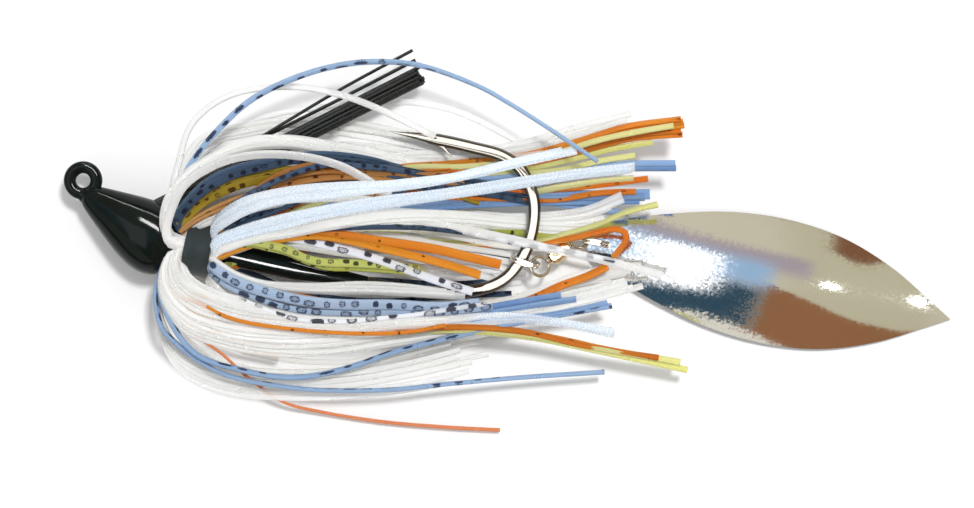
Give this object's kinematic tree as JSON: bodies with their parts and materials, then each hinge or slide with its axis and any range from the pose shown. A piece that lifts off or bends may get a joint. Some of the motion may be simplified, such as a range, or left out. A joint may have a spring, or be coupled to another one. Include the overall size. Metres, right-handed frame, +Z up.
{
  "type": "skirted swim jig with a tail spinner blade",
  "caption": "Skirted jig lure lying on its side: black head on a long hook, weed guard, silicone skirt and a willow-leaf blade on a swivel.",
  "frame": {"origin": "middle of the underside of the whole lure, on the surface that it lies on", "axes": "+X from the line tie to the blade's sharp end, +Y in the hook's plane from the shank to the point, +Z up"},
  "size_m": [0.1346, 0.0582, 0.0133],
  "materials": {
    "gloss_black": "gloss powder coat over lead",
    "black_nickel": "black nickel plated steel wire",
    "band_rubber": "matt grey-green rubber",
    "black_nylon": "smooth black nylon fibre",
    "nickel": "bright nickel plate",
    "swivel_wire": "brass wire with worn nickel plate",
    "swivel_brass": "bright brass",
    "polished_nickel": "mirror-polished nickel plate",
    "pearl_silicone": "translucent pearl silicone",
    "blue_silicone": "translucent light blue silicone with dark flakes",
    "glitter_silicone": "silver-blue silicone with fine glitter",
    "orange_silicone": "amber silicone with small dark flakes",
    "chartreuse_silicone": "yellow-green silicone with dark flakes",
    "smoky_silicone": "smoky dark blue silicone with dark flakes"
  },
  "bodies": {
    "root": {"hook": "black_nickel", "jig_head": "gloss_black", "bait_keeper": "gloss_black", "skirt_band": "band_rubber", "skirt_strand_middles": "pearl_silicone", "skirt_blue_arc": "blue_silicone", "skirt_pearl_crown": "pearl_silicone", "skirt_smoky_rear": "smoky_silicone", "skirt_glitter_rear": "glitter_silicone", "skirt_orange_rear": "orange_silicone", "skirt_flaked_rear": "blue_silicone", "skirt_pearl_flank": "pearl_silicone", "skirt_blue_flank": "blue_silicone", "skirt_pearl_outer": "pearl_silicone", "skirt_orange_outer": "orange_silicone", "skirt_pearl_under": "pearl_silicone", "skirt_smoky_under": "smoky_silicone", "skirt_pearl_floor": "pearl_silicone", "skirt_chartreuse_under": "chartreuse_silicone", "skirt_orange_under": "orange_silicone", "skirt_pearl_upper_under": "pearl_silicone"},
    "weed_guard": {"weed_guard_fibres": "black_nylon", "weed_guard_edge_fibre": "black_nylon", "weed_guard_stray_fibre": "black_nylon"},
    "hook_ring": {"hook_split_ring": "nickel"},
    "front_eye": {"swivel_front_eye": "swivel_wire"},
    "barrel": {"swivel_barrel": "swivel_brass"},
    "rear_eye": {"swivel_rear_eye": "swivel_wire"},
    "blade_ring": {"blade_split_ring": "nickel"},
    "blade": {"willow_blade": "polished_nickel"}
  },
  "joints": [
    {"name": "weed_guard_flex", "type": "hinge", "parent": "root", "child": "weed_guard", "pos_m": [-0.05337, 0.00499, 0.00524], "axis": [0, 0, 1], "range_deg": [-6, 4], "stiffness_Nm_per_rad": 0.02},
    {"name": "hook_ring_swing", "type": "hinge", "parent": "root", "child": "hook_ring", "pos_m": [0.00168, -0.00276, 0.00524], "axis": [0.342, 0.9397, 0], "range_deg": [-15, 8]},
    {"name": "swivel_yaw", "type": "hinge", "parent": "hook_ring", "child": "front_eye", "pos_m": [0.00423, -0.00369, 0.00524], "axis": [0.0594, 0.1632, -0.9848], "range_deg": [-10, 15]},
    {"name": "barrel_spin", "type": "hinge", "parent": "front_eye", "child": "barrel", "pos_m": [0.00749, -0.00169, 0.00404], "axis": [0.7759, 0.5477, -0.3131], "continuous": true},
    {"name": "rear_eye_spin", "type": "hinge", "parent": "barrel", "child": "rear_eye", "pos_m": [0.00749, -0.00169, 0.00404], "axis": [0.7759, 0.5477, -0.3131], "continuous": true},
    {"name": "blade_ring_yaw", "type": "hinge", "parent": "rear_eye", "child": "blade_ring", "pos_m": [0.01087, 0.00032, 0.00244], "axis": [0, 0, 1], "range_deg": [-12, 15]},
    {"name": "blade_flap", "type": "hinge", "parent": "blade_ring", "child": "blade", "pos_m": [0.01289, -0.00012, 0.00244], "axis": [0.2113, 0.9774, 0], "range_deg": [-40, 15]}
  ]
}
